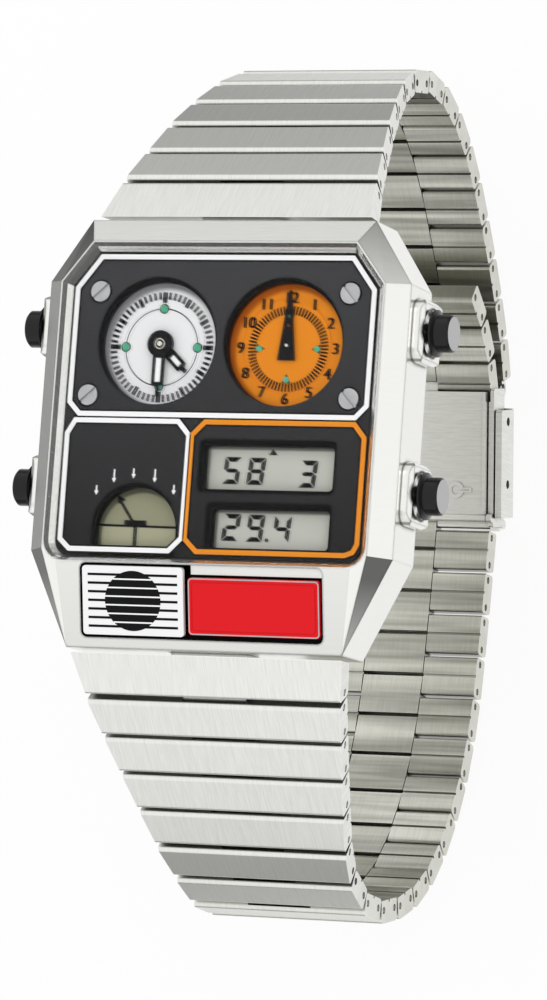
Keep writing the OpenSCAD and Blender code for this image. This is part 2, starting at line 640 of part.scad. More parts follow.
// The last connector of the upper strand carries the pin that the clasp hooks on.
module end_tie() {
    difference() {
        tie(tie_mid, false);
        across(tie_half + 1) translate([pin_step, 0]) circle(pin_r + run_fit);
    }
    pin_at(pitch, narrow_half - 0.6);
}
module end_link(side) color("silver") {
    y0 = end + end_gap;
    mirror([0, side > 0 ? 0 : 1, 0]) difference() {
        union() {
            intersection() {
                translate([0, first_y, first_z]) rotate([start(side), 0, 0]) difference() {
                    intersection() {
                        across(wide_half + 1)
                            soft_box([-end_back - 2, bar_end - pitch, -face_in, face_out], bar_r);
                        strip(1, -end_back - 2, 0);
                    }
                    across(pocket_half)
                        box([tie_mid - pitch - tie_long - 0.12, pitch, -2, face_out - 0.4]);
                    across(wide_half + 1) translate([pin_step - pitch, 0]) circle(pin_r + pin_fit);
                }
                translate([-case_w, y0, -case_w]) cube([2 * case_w, case_l, 2 * case_w]);
            }
            across(knuckle_half) {
                translate([spring_y, spring_z]) circle(knuckle_r);
                box([spring_y, y0 + 0.75, spring_z - knuckle_r, spring_z + knuckle_r - 0.1]);
            }
        }
        across(2 * knuckle_half) translate([spring_y, spring_z]) circle(spring_r + run_fit);
    }
    mirror([0, side > 0 ? 0 : 1, 0]) translate([0, first_y, first_z]) rotate([start(side), 0, 0]) {
        pin_at(pin_step - pitch, half_at(1, pin_step - pitch) - 0.14);
        tie(tie_mid - pitch);
    }
}
module side_wall(h, t) both_x() translate([h, 0, 0]) rotate([90, 0, 90]) linear_extrude(t) children();
module clasp_box() color("silver") placed(-1, clasp_bar) {
    difference() {
        side_wall(narrow_half - 0.05, box_wall) {
            soft_box([-0.35, box_l, -box_deep, box_plate[1]], 0.3);
            translate(cover_hinge) circle(barrel_r + 0.05);
            translate(lock_hinge) circle(barrel_r + 0.02);
        }
        across(narrow_half + 2 * fit) box([tail_start, case_w, -case_w, box_plate[0]]);
    }
    across(narrow_half) box([0.35, box_l, box_plate[0], box_plate[1]]);
    for (k = [0 : 2]) translate([0, k * pitch, 0]) {
        difference() { bar_shape(clasp_bar); if (k > 0) pin_at(0, narrow_half); }
        intersection() { bar_pins(clasp_bar); across(narrow_half - 0.2) square(20, center = true); }
        tie(tie_mid);
    }
    across(narrow_half) for (h = [cover_hinge, lock_hinge]) translate(h) circle(clasp_pin_r);
}
module tail_links() color("silver") for (n = [clasp_bar + 3 : clasp_bar + 5]) placed(-1, n) {
    bar_shape(n);
    bar_pins(n);
    if (n < clasp_bar + 5) tie(tie_mid);
}
module lock_plate() color("silver") placed(-1, clasp_bar) difference() {
    z0 = lock_hinge.y - lock_t / 2;
    union() {
        across(lock_half) {
            translate(lock_hinge) circle(barrel_r - 0.02);
            box([lock_hinge.x, lock_hinge.x + lock_l, z0, z0 + lock_t]);
        }
        side_wall(lock_half - lock_t, lock_t)
            box([lock_hinge.x + 0.6, lock_hinge.x + lock_l, z0 - lock_lip, z0 + lock_t]);
        translate([stud_at.x, stud_at.y, z0 - 0.16]) {
            cylinder(r = stud_r, h = 0.2);
            translate([0, -0.22, 0]) cube([2 * stud_r, 0.44, 0.2]);
        }
    }
    across(lock_half + 1) translate(lock_hinge) circle(clasp_pin_r + run_fit);
    translate([stud_at.x, stud_at.y, z0 - 1]) cylinder(r = 0.55 * stud_r, h = 0.94);
    translate([stud_at.x, stud_at.y - 0.1, z0 - 1]) cube([1.7 * stud_r, 0.2, 0.94]);
}
// The cover's section: plate, ramp and a hook round the upper strand's last pin.
module cover_section() {
    r0 = pin_r + hook_gap;
    r1 = r0 + hook_t;
    ramp = hook.x - 1.75;
    box([cover_hinge.x, ramp, cover_plate[0], cover_plate[1]]);
    difference() {
        union() {
            translate(hook) circle(r1);
            polygon([[ramp - overrun, cover_plate[0]], [ramp + 0.25, cover_plate[0]],
                     [hook.x - 0.68 * r1, hook.y - 0.7 * r1], [hook.x - r1 + 0.05, hook.y + 0.1],
                     [ramp - overrun, cover_plate[1]]]);
        }
        translate(hook) circle(r0);
        translate(hook) polygon([[0, 0], for (a = [mouth[0] : -mouth_step : mouth[1]])
            3 * [cos(a), sin(a)]]);
    }
}
module clasp_cover() color("silver") placed(-1, clasp_bar) difference() {
    union() {
        across(narrow_half - 0.12) {
            translate(cover_hinge) circle(barrel_r);
            polygon([[-0.35, cover_plate[1] - 0.2], [-0.2, cover_plate[1] + 0.1],
                     [-0.72, cover_plate[1] + 0.42], [-0.85, cover_plate[1] + 0.2]]);
        }
        across(narrow_half - 0.4) cover_section();
        across(cover_half) box([0.45, hook.x - 1.75, cover_plate[0], cover_plate[1]]);
        side_wall(cover_half - cheek_t, cheek_t)
            soft_box([0.45, hook.x - 1.9, -cheek_deep, cover_plate[1]], 0.3);
    }
    across(cover_half) translate(cover_hinge) circle(clasp_pin_r + run_fit);
    side_wall(cover_half - 2 * cheek_t, 3 * cheek_t)
        for (s = cheek_holes) translate([s, cheek_hole_w]) circle(cheek_hole_r);
    translate([-tie_half - 0.25, hook.x - 1.5, 0]) cube([2 * tie_half + 0.5, 6, 12]);
}

upper_names = concat([for (n = [0 : upper_count - 1]) str("upper_link_", n)],
    [for (g = upper_groups) str("upper_links_", g[0], "_", g[1])]);
lower_names = concat([for (n = [0 : lower_count - 1]) str("lower_link_", n)],
    [for (g = lower_groups) str("lower_links_", g[0], "_", g[1])]);

case();
case_back();
case_back_screws();
case_back_gasket();
crystal();
dial_plate();
dial_screws();
time_sub_dial();
zone_sub_dial();
hour_hand();
minute_hand();
zone_hand();
lcd_glass();
fan_lcd();
speaker_grille();
red_plate();
module_housing();
circuit_board();
battery();
buzzer();
coil_motor();
button_2h();
button_4h();
button_8h();
button_10h();
button_seals();
spring_bars();
clasp_box();
lock_plate();
clasp_cover();
tail_links();
end_link(1);  // upper_link_0
end_link(-1);  // lower_link_0
for (n = [1 : upper_count - 1]) links(1, n, n);
for (n = [1 : lower_count - 1]) links(-1, n, n);
for (k = [0 : len(upper_groups) - 1])
    links(1, upper_groups[k][0], upper_groups[k][1]);
for (k = [0 : len(lower_groups) - 1])
    links(-1, lower_groups[k][0], lower_groups[k][1]);
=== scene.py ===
import math
import bpy
from mathutils import Vector, Matrix


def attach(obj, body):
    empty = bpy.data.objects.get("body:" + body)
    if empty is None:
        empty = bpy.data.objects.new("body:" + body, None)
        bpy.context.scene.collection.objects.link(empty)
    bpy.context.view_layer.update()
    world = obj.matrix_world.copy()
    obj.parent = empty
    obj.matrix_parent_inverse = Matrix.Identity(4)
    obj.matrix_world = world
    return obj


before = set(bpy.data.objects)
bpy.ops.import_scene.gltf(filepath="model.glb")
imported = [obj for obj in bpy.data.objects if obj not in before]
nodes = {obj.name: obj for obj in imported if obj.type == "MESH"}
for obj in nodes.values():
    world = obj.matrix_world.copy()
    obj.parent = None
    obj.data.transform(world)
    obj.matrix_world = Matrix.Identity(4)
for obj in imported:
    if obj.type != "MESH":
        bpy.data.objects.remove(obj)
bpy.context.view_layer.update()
bpy.ops.object.select_all(action="DESELECT")
scene = bpy.context.scene
mm = 0.001

# the camera, placed in metres and turned in degrees
view = dict(place=(0.19035, -0.06172, 0.44969), turn=(8.3779, 22.1385, 4.4054), lens=207.93, sensor=36,
            clip=0.01)
bpy.ops.object.camera_add(location=view["place"], rotation=[math.radians(v) for v in view["turn"]])
camera = bpy.context.object
camera.data.sensor_fit = "VERTICAL"
camera.data.sensor_height = view["sensor"]
camera.data.lens = view["lens"]
camera.data.clip_start = view["clip"]
scene.camera = camera

# sizes of the watch in millimetres, from the middle of the case back
dialTop = 8.0  # face of the dial plate
dialFloor = 7.2  # face of what lies in its windows
inkThick = 0.02
leftDial = (-5.76, 7.64)
rightDial = (5.76, 7.64)
printDrop = 0.25  # the printed dials sit a little low in their windows
minuteTop = 7.70
hourTop = 7.46
zoneTop = 7.48
panelEdge = (-11.2, 8.85)  # upper edge of the sloping panel, along and up
panelTurn = math.radians(13.43)
quarters = [0, 90, 180, 270]


# shapes, with places and sizes in millimetres
def only(obj):
    bpy.ops.object.select_all(action="DESELECT")
    obj.select_set(True)
    bpy.context.view_layer.objects.active = obj
    return obj


def settle(obj):
    only(obj)
    bpy.ops.object.transform_apply(location=True, rotation=True, scale=True)
    return obj


def join(parts, name):
    bpy.ops.object.select_all(action="DESELECT")
    for part in parts:
        part.select_set(True)
    bpy.context.view_layer.objects.active = parts[0]
    if len(parts) > 1:
        bpy.ops.object.join()
    parts[0].name = name
    return parts[0]


def edit(obj):
    only(obj)
    bpy.ops.object.mode_set(mode="EDIT")
    bpy.ops.mesh.select_all(action="SELECT")


def done(obj):
    bpy.ops.mesh.select_all(action="SELECT")
    bpy.ops.mesh.normals_make_consistent(inside=False)
    bpy.ops.object.mode_set(mode="OBJECT")
    return obj


def outlined(points, z):
    bpy.ops.object.select_all(action="DESELECT")
    bpy.ops.mesh.primitive_circle_add(vertices=len(points), radius=mm, fill_type="NGON")
    part = bpy.context.object
    for vertex, point in zip(part.data.vertices, points):
        vertex.co = (point[0] * mm, point[1] * mm, z * mm)
    return part


def raised(points, z, thick):
    part = outlined(points, z)
    edit(part)
    bpy.ops.mesh.extrude_region_move(TRANSFORM_OT_translate={"value": (0, 0, thick * mm)})
    return done(part)


def strip(start, end, width, z, thick):
    along = Vector(end) - Vector(start)
    side = Vector((-along.y, along.x)).normalized() * width / 2
    corners = [Vector(start) - side, Vector(end) - side, Vector(end) + side, Vector(start) + side]
    return raised(corners, z, thick)


def grown(points, distance):
    # the same outline, moved outwards
    area = sum(points[i - 1][0] * points[i][1] - points[i][0] * points[i - 1][1]
               for i in range(len(points)))
    turn = 1 if area > 0 else -1
    made = []
    for index, point in enumerate(points):
        here = Vector(point)
        first = (here - Vector(points[index - 1])).normalized()
        second = (Vector(points[(index + 1) % len(points)]) - here).normalized()
        out = Vector((first.y + second.y, -first.x - second.x)).normalized()
        made.append(here + out * turn * distance / out.dot(Vector((first.y, -first.x))))
    return made


def band(points, z, width, thick):
    part = outlined(grown(points, width / 2), z)
    edit(part)
    bpy.ops.mesh.inset(thickness=width * mm)
    bpy.ops.mesh.delete(type="FACE")
    bpy.ops.mesh.select_all(action="SELECT")
    bpy.ops.mesh.extrude_region_move(TRANSFORM_OT_translate={"value": (0, 0, thick * mm)})
    return done(part)


def roundBox(left, right, low, high, corner, steps=4):
    made = []
    for cx, cy, first in ((right - corner, high - corner, 0), (left + corner, high - corner, 90),
                          (left + corner, low + corner, 180), (right - corner, low + corner, 270)):
        for step in range(steps + 1):
            turn = math.radians(first + 90 * step / steps)
            made.append((cx + corner * math.cos(turn), cy + corner * math.sin(turn)))
    return made


def button(x, y, z, radius, thick, edge, sides=40):
    bpy.ops.object.select_all(action="DESELECT")
    bpy.ops.mesh.primitive_cylinder_add(vertices=sides, radius=radius * mm, depth=thick * mm,
                                        location=(x * mm, y * mm, (z + thick / 2) * mm))
    part = settle(bpy.context.object)
    if edge:
        soft = part.modifiers.new("edge", "BEVEL")
        soft.width = edge * mm
        soft.segments = 2
        soft.limit_method = "ANGLE"
        bpy.ops.object.modifier_apply(modifier="edge")
    return part


def hoop(x, y, z, radius, width, thick=inkThick):
    bpy.ops.object.select_all(action="DESELECT")
    bpy.ops.mesh.primitive_torus_add(major_segments=96, minor_segments=8, major_radius=radius * mm,
                                     minor_radius=width / 2 * mm, location=(x * mm, y * mm, z * mm))
    part = bpy.context.object
    part.scale = (1, 1, thick / width)
    return settle(part)


def turned(part, centre, degrees):
    middle = Matrix.Translation((centre[0] * mm, centre[1] * mm, 0))
    part.data.transform(middle @ Matrix.Rotation(math.radians(-degrees), 4, "Z") @ middle.inverted())
    return part


def twin(part):
    copy = part.copy()
    copy.data = part.data.copy()
    scene.collection.objects.link(copy)
    return copy


def around(part, centre, turns):
    copies = [turned(twin(part), centre, turn) for turn in turns]
    bpy.data.objects.remove(part)
    return copies


def words(text, x, y, z, size, thick=inkThick):
    bpy.ops.object.select_all(action="DESELECT")
    bpy.ops.object.text_add(location=(x * mm, y * mm, (z + thick / 2) * mm))
    part = bpy.context.object
    part.data.body = text
    part.data.size = size * mm
    part.data.extrude = thick / 2 * mm
    part.data.align_x = "CENTER"
    part.data.align_y = "CENTER"
    only(part)
    bpy.ops.object.convert(target="MESH")
    return settle(bpy.context.object)


def onPanel(parts):
    made = join(parts, "panelPart")
    made.rotation_euler = (panelTurn, 0, 0)
    made.location = (0, panelEdge[0] * mm, panelEdge[1] * mm)
    return settle(made)


# effects that several finishes share
def newGroup(name, inputs, outputs):
    group = bpy.data.node_groups.new(name, "ShaderNodeTree")
    for socket, kind in inputs:
        group.interface.new_socket(socket, in_out="INPUT", socket_type="NodeSocket" + kind)
    for socket, kind in outputs:
        group.interface.new_socket(socket, in_out="OUTPUT", socket_type="NodeSocket" + kind)
    enter = group.nodes.new("NodeGroupInput").outputs
    leave = group.nodes.new("NodeGroupOutput").inputs
    return group, enter, leave, group.nodes.new, group.links.new


def grainGroup():
    group, enter, leave, put, wire = newGroup(
        "hairline grain", [("Stretch", "Vector"), ("Depth", "Float")],
        [("Streaks", "Float"), ("Normal", "Vector")])
    place = put("ShaderNodeTexCoord")
    scale = put("ShaderNodeVectorMath")
    scale.operation = "MULTIPLY"
    fine = put("ShaderNodeTexNoise")
    fine.inputs["Scale"].default_value = 1.0
    fine.inputs["Detail"].default_value = 3.0
    fine.inputs["Roughness"].default_value = 0.7
    bump = put("ShaderNodeBump")
    bump.inputs["Distance"].default_value = 0.00002
    wire(place.outputs["Object"], scale.inputs[0])
    wire(enter["Stretch"], scale.inputs[1])
    wire(scale.outputs[0], fine.inputs["Vector"])
    wire(fine.outputs["Fac"], bump.inputs["Height"])
    wire(enter["Depth"], bump.inputs["Strength"])
    wire(fine.outputs["Fac"], leave["Streaks"])
    wire(bump.outputs["Normal"], leave["Normal"])
    return group


# where the painted edge tone starts and is full, and how far and how dark the painted shade in creases
# reaches
creaseTone = dict(edgeStart=0.99, edgeFull=0.8, reach=0.0007, dark=0.15, clear=0.75)


def wearGroup(name, alone):
    # painted highlights or dark lines along edges, and painted shade in corners and creases; alone leaves
    # other pieces out of it
    group, enter, leave, put, wire = newGroup(
        name, [("Radius", "Float")], [("Edge", "Float"), ("Crease", "Float")])
    soft = put("ShaderNodeBevel")
    soft.samples = 4
    flat = put("ShaderNodeNewGeometry")
    dot = put("ShaderNodeVectorMath")
    dot.operation = "DOT_PRODUCT"
    spread = put("ShaderNodeMapRange")
    spread.inputs["From Min"].default_value = creaseTone["edgeStart"]
    spread.inputs["From Max"].default_value = creaseTone["edgeFull"]
    hidden = put("ShaderNodeAmbientOcclusion")
    hidden.samples = 6
    hidden.only_local = alone
    hidden.inputs["Distance"].default_value = creaseTone["reach"]
    deep = put("ShaderNodeMapRange")
    deep.inputs["From Min"].default_value = creaseTone["dark"]
    deep.inputs["From Max"].default_value = creaseTone["clear"]
    wire(enter["Radius"], soft.inputs["Radius"])
    wire(soft.outputs["Normal"], dot.inputs[0])
    wire(flat.outputs["Normal"], dot.inputs[1])
    wire(dot.outputs["Value"], spread.inputs["Value"])
    wire(spread.outputs["Result"], leave["Edge"])
    wire(hidden.outputs["AO"], deep.inputs["Value"])
    wire(deep.outputs["Result"], leave["Crease"])
    return group


def marksGroup():
    group, enter, leave, put, wire = newGroup(
        "handling marks", [("Size", "Float")], [("Marks", "Float")])
    place = put("ShaderNodeTexCoord")
    cloud = put("ShaderNodeTexNoise")
    cloud.inputs["Detail"].default_value = 4.0
    wire(place.outputs["Object"], cloud.inputs["Vector"])
    wire(enter["Size"], cloud.inputs["Scale"])
    wire(cloud.outputs["Fac"], leave["Marks"])
    return group


def windowGroup():
    # one inside a soft-edged round box, nothing outside it
    group, enter, leave, put, wire = newGroup(
        "soft window", [("Place", "Vector"), ("Centre", "Vector"), ("Half", "Vector"),
                        ("Radius", "Float"), ("Blur", "Float")], [("Inside", "Float")])
    gap = put("ShaderNodeVectorMath")
    gap.operation = "SUBTRACT"
    size = put("ShaderNodeVectorMath")
    size.operation = "ABSOLUTE"
    past = put("ShaderNodeVectorMath")
    past.operation = "SUBTRACT"
    clip = put("ShaderNodeVectorMath")
    clip.operation = "MAXIMUM"
    reach = put("ShaderNodeVectorMath")
    reach.operation = "LENGTH"
    outer = put("ShaderNodeMath")
    outer.operation = "ADD"
    fade = put("ShaderNodeMapRange")
    fade.interpolation_type = "SMOOTHSTEP"
    fade.inputs["To Min"].default_value = 1.0
    fade.inputs["To Max"].default_value = 0.0
    wire(enter["Place"], gap.inputs[0])
    wire(enter["Centre"], gap.inputs[1])
    wire(gap.outputs[0], size.inputs[0])
    wire(size.outputs[0], past.inputs[0])
    wire(enter["Half"], past.inputs[1])
    wire(past.outputs[0], clip.inputs[0])
    wire(clip.outputs[0], reach.inputs[0])
    wire(reach.outputs["Value"], fade.inputs["Value"])
    wire(enter["Radius"], fade.inputs["From Min"])
    wire(enter["Radius"], outer.inputs[0])
    wire(enter["Blur"], outer.inputs[1])
    wire(outer.outputs[0], fade.inputs["From Max"])
    wire(fade.outputs["Result"], leave["Inside"])
    return group


def facingGroup():
    # how far a face looks one way on the piece itself
    group, enter, leave, put, wire = newGroup(
        "facing", [("Way", "Vector"), ("From", "Float"), ("To", "Float")], [("Facing", "Float")])
    place = put("ShaderNodeTexCoord")
    dot = put("ShaderNodeVectorMath")
    dot.operation = "DOT_PRODUCT"
    fade = put("ShaderNodeMapRange")
    wire(place.outputs["Normal"], dot.inputs[0])
    wire(enter["Way"], dot.inputs[1])
    wire(dot.outputs["Value"], fade.inputs["Value"])
    wire(enter["From"], fade.inputs["From Min"])
    wire(enter["To"], fade.inputs["From Max"])
    wire(fade.outputs["Result"], leave["Facing"])
    return group


grain, marks, window, facing = grainGroup(), marksGroup(), windowGroup(), facingGroup()
sharedEdgeToneAndCreaseShade, ownEdgeToneAndCreaseShade = wearGroup("edges and creases", False), wearGroup("own edges and creases", True)
throughAll = 1000  # a window's mask holds at every height


class Finish:
    # one material, with short ways to add nodes to it
    def __init__(self, name):
        self.made = bpy.data.materials.new(name)
        self.made.use_nodes = True
        self.tree = self.made.node_tree
        self.shader = self.tree.nodes["Principled BSDF"]

    def put(self, kind):
        return self.tree.nodes.new(kind)

    def wire(self, start, end):
        self.tree.links.new(start, end)

    def use(self, group, **values):
        node = self.put("ShaderNodeGroup")
        node.node_tree = group
        for name, value in values.items():
            node.inputs[name].default_value = value
        return node

    def place(self):
        return self.put("ShaderNodeTexCoord").outputs["Object"]

    def math(self, work, first, second):
        node = self.put("ShaderNodeMath")
        node.operation = work
        for index, value in enumerate((first, second)):
            if isinstance(value, (int, float)):
                node.inputs[index].default_value = value
            else:
                self.wire(value, node.inputs[index])
        return node.outputs[0]

    def mix(self, amount, first, second, kind="MIX"):
        node = self.put("ShaderNodeMix")
        node.data_type = "RGBA"
        node.blend_type = kind
        for index, value in ((0, amount), (6, first), (7, second)):
            if isinstance(value, (tuple, float)):
                node.inputs[index].default_value = (*value, 1) if isinstance(value, tuple) else value
            else:
                self.wire(value, node.inputs[index])
        return node.outputs[2]

    def slope(self, value, low, high, fromLow=0.0, fromHigh=1.0):
        node = self.put("ShaderNodeMapRange")
        for name, amount in (("From Min", fromLow), ("From Max", fromHigh), ("To Min", low),
                             ("To Max", high)):
            node.inputs[name].default_value = amount
        self.wire(value, node.inputs["Value"])
        return node.outputs["Result"]

    def vector(self, work, first, second=None):
        node = self.put("ShaderNodeVectorMath")
        node.operation = work
        for index, value in enumerate((first, second)):
            if isinstance(value, (tuple, list)):
                node.inputs[index].default_value = value
            elif value is not None:
                self.wire(value, node.inputs[index])
        return node.outputs["Value" if work in ("DOT_PRODUCT", "LENGTH") else "Vector"]

    def times(self, colour, shade):
        return self.mix(1.0, colour, shade, "MULTIPLY")

    def normal(self):
        return self.put("ShaderNodeTexCoord").outputs["Normal"]

    def axis(self, name):
        split = self.put("ShaderNodeSeparateXYZ")
        self.wire(self.place(), split.inputs[0])
        return split.outputs[name]

    def inside(self, centre, half, radius, blur, place=None):
        node = self.use(window, Centre=[c * mm for c in (*centre, 0)],
                        Half=[h * mm for h in (*half, throughAll)], Radius=radius * mm, Blur=blur * mm)
        self.wire(place or self.place(), node.inputs["Place"])
        return node.outputs["Inside"]


# values of a finish that names no others; spread is where grain turns dark, roughly the play in roughness;
# creaseShade is how dark the painted shade in creases is
usual = dict(metal=0.0, shine=0.5, marks=60.0, dim=0.94, depth=0.3, rim=0.00012, creaseShade=0.12, alone=False,
             spread=(0.35, 0.65), roughly=(0.8, 1.25))


def plainLook(finish, look):
    shader = finish.shader
    shader.inputs["Metallic"].default_value = look["metal"]
    shader.inputs["Specular IOR Level"].default_value = look["shine"]
    cloud = finish.use(marks, Size=look["marks"]).outputs["Marks"]
    colour = finish.mix(cloud, tuple(c * look["dim"] for c in look["colour"]), look["colour"])
    rough = cloud
    if "stretch" in look:
        lines = finish.use(grain, Stretch=look["stretch"], Depth=look["depth"])
        streaks = finish.slope(lines.outputs["Streaks"], 0.0, 1.0, *look["spread"])
        colour = finish.mix(streaks, colour, tuple(c * look["streak"] for c in look["colour"]))
        rough = lines.outputs["Streaks"]
        finish.wire(lines.outputs["Normal"], shader.inputs["Normal"])
    low, high = (look["rough"] * part for part in look["roughly"])
    finish.wire(finish.slope(rough, low, high), shader.inputs["Roughness"])
    return colour


def metalLook(finish, look):
    colour = plainLook(finish, look)
    # edges get a painted highlight or a painted dark line in the edge colour, as wide as rim, and creases a
    # painted shade
    edges = finish.use(ownEdgeToneAndCreaseShade if look["alone"] else sharedEdgeToneAndCreaseShade, Radius=look["rim"])
    colour = finish.mix(edges.outputs["Edge"], colour, look["edge"])
    return finish.mix(edges.outputs["Crease"], tuple(c * look["creaseShade"] for c in look["colour"]), colour)


def finishPaint(name, look):
    finish = Finish(name)
    look = {**usual, **look}
    colour = metalLook(finish, look) if "edge" in look else plainLook(finish, look)
    if "shades" in look:
        colour = look["shades"](finish, colour)
    finish.wire(colour, finish.shader.inputs["Base Color"])
    return finish.made


# painted reflections on the inner faces of the bars, and painted shade towards the underside
innerReflectionBands = dict(middle=(0, -1, -16), turned=(0.3, 0.6), stretch=(20, 420, 420), spread=(0.38, 0.62),
                dark=(0.5, 0.5, 0.48), bright=(1.12, 1.12, 1.1))
barUndersideShade = dict(low=-24, high=-5, shade=(0.80, 0.80, 0.76))


def linkShades(finish, colour):
    # painted reflections in bands on the polished inner faces, and painted shade that makes the bars darker
    # towards the underside of the wrist
    away = finish.vector("SUBTRACT", tuple(c * mm for c in innerReflectionBands["middle"]), finish.place())
    away = finish.vector("NORMALIZE", finish.vector("MULTIPLY", away, (0, 1, 1)))
    facingIn = finish.vector("DOT_PRODUCT", away, finish.normal())
    inner = finish.slope(facingIn, 0.0, 1.0, *innerReflectionBands["turned"])
    reflectionBands = finish.use(grain, Stretch=innerReflectionBands["stretch"], Depth=0.0).outputs["Streaks"]
    reflectionBands = finish.slope(reflectionBands, 0.0, 1.0, *innerReflectionBands["spread"])
    shade = finish.mix(reflectionBands, innerReflectionBands["dark"], innerReflectionBands["bright"])
    colour = finish.mix(inner, colour, finish.times(colour, shade))
    high = finish.slope(finish.axis("Z"), 0.0, 1.0, barUndersideShade["low"] * mm, barUndersideShade["high"] * mm)
    return finish.mix(high, finish.times(colour, barUndersideShade["shade"]), colour)


# painted shade on the corner faces and the sloping panel; dark and light say where along the case each face
# is darkest and lightest, low and high by how much
caseFaces = [dict(way=(-0.59, 0.39, 0.707), near=0.965, dark=18.5, light=12.0, low=0.20, high=0.50),
             dict(way=(0.59, 0.39, 0.707), near=0.965, dark=18.5, light=12.0, low=0.32, high=0.72),
             dict(way=(0.59, -0.39, 0.707), near=0.965, dark=-12.0, light=-17.5, low=0.15, high=0.45),
             dict(way=(-0.59, -0.39, 0.707), near=0.965, dark=-12.0, light=-15.0, low=0.55, high=0.95),
             dict(way=(0, -0.232, 0.973), near=0.979, dark=-19.0, light=-11.0, low=0.82, high=0.90)]
faceBlur = 0.02
# painted light and shade on the upper part of the polished slope inside the opening: light where it faces
# litWay, dark elsewhere
caseSlope = dict(middle=(0, 2.55, 8.85), inward=(-0.5, -2.0), low=8.47, high=8.51, leaning=(0.97, 0.93),
                 litWay=(-0.8, 0.6, 0), lit=(-0.1, 0.1), dark=(0.17, 0.17, 0.165), light=(0.66, 0.66, 0.64))
plateGapShade = dict(top=0.06, shallow=0.12, floor=0.95, under=1.0, hole=((-0.11, -3.22), (11.0, 3.16), 0.03),
                lip=((4.75, -0.5), (6.0, 0.42), 0.05), colour=(0.004, 0.004, 0.004))


def slopeMask(finish):
    # the polished slope inside the opening looks back at the middle of the case
    apart = finish.vector("SUBTRACT", finish.place(), tuple(c * mm for c in caseSlope["middle"]))
    start, end = caseSlope["inward"]
    inward = finish.vector("DOT_PRODUCT", apart, finish.normal())
    inward = finish.slope(inward, 0.0, 1.0, start * mm, end * mm)
    upper = finish.slope(finish.axis("Z"), 0.0, 1.0, caseSlope["low"] * mm, caseSlope["high"] * mm)
    start, end = caseSlope["leaning"]
    leaning = finish.use(facing, Way=(0, 0, 1), From=start, To=end).outputs["Facing"]
    return finish.math("MULTIPLY", finish.math("MULTIPLY", inward, upper), leaning)


def gapMask(finish):
    # painted shade in the gap round the two plates, left out above the red plate, measured along and across
    # the sloping panel
    turn = finish.put("ShaderNodeVectorRotate")
    turn.rotation_type = "X_AXIS"
    turn.inputs["Center"].default_value = (0, panelEdge[0] * mm, panelEdge[1] * mm)
    turn.inputs["Angle"].default_value = -panelTurn
    finish.wire(finish.place(), turn.inputs["Vector"])
    split = finish.put("ShaderNodeSeparateXYZ")
    finish.wire(turn.outputs[0], split.inputs[0])
    top, shallow, floor, under = ((panelEdge[1] - plateGapShade[key]) * mm
                                  for key in ("top", "shallow", "floor", "under"))
    low = finish.slope(split.outputs["Z"], 1.0, 0.0, shallow, top)
    deep = finish.slope(split.outputs["Z"], 0.0, 1.0, under, floor)
    masks = []
    for spec in (plateGapShade["hole"], plateGapShade["lip"]):
        (x, y), half, blur = spec
        masks.append(finish.inside((x, panelEdge[0] + y), half, 0.0, blur, turn.outputs[0]))
    gap = finish.math("MULTIPLY", finish.math("MULTIPLY", low, deep), masks[0])
    return finish.math("MULTIPLY", gap, finish.slope(masks[1], 1.0, 0.0))


def caseShades(finish, colour):
    # painted shade on the corner faces, painted light and shade on the polished slope, and painted shade in
    # the gap round the plates
    for face in caseFaces:
        looking = finish.use(facing, Way=face["way"], From=face["near"], To=face["near"] + faceBlur)
        fade = finish.slope(finish.axis("Y"), 0.0, 1.0, face["dark"] * mm, face["light"] * mm)
        shade = finish.mix(fade, (face["low"],) * 3, (face["high"],) * 3)
        colour = finish.mix(looking.outputs["Facing"], colour, finish.times(colour, shade))
    start, end = caseSlope["lit"]
    lit = finish.use(facing, Way=caseSlope["litWay"], From=start, To=end).outputs["Facing"]
    shade = finish.mix(lit, caseSlope["dark"], caseSlope["light"])
    colour = finish.mix(slopeMask(finish), colour, shade)
    return finish.mix(gapMask(finish), colour, plateGapShade["colour"])


windows = [dict(centre=(-5.9, 7.9), half=(0, 0), radius=5.25),
           dict(centre=(5.62, 7.9), half=(0, 0), radius=5.25),
           dict(centre=(4.95, -2.72), half=(5.7, 1.75), radius=0.35),
           dict(centre=(5.45, -7.95), half=(5.2, 1.65), radius=0.35),
           dict(centre=(-6.75, -8.2), half=(0, 0), radius=3.75),
           dict(centre=(-6.75, -9.4), half=(3.6, 1.2), radius=0.15)]
# painted shade on the dial plate: low is its colour towards 6, shade its colour round the windows, screwShade
# round the screws
plateTone = dict(fade=(-10, 14), low=(0.017, 0.017, 0.018), rim=0.05, blur=0.28,
                 shade=(0.0015, 0.0015, 0.0018),
                 screws=[(11.41, 12.01), (-11.41, 12.01), (11.91, 3.12), (-11.91, 3.12)], screwRim=0.98,
                 screwBlur=0.1, screwShade=(0.002, 0.002, 0.002))


def plateShades(finish, colour):
    # painted shade: the plate grows darker towards 6, round the screws and round each window, most at the
    # upper left
    start, end = plateTone["fade"]
    fade = finish.slope(finish.axis("Y"), 1.0, 0.0, start * mm, end * mm)
    colour = finish.mix(fade, colour, plateTone["low"])
    for spot in plateTone["screws"]:
        rim = finish.inside(spot, (0, 0), plateTone["screwRim"], plateTone["screwBlur"])
        colour = finish.mix(rim, colour, plateTone["screwShade"])
    for spec in windows:
        radius = spec["radius"] + plateTone["rim"]
        rim = finish.inside(spec["centre"], spec["half"], radius, plateTone["blur"])
        colour = finish.mix(rim, colour, plateTone["shade"])
    return colour


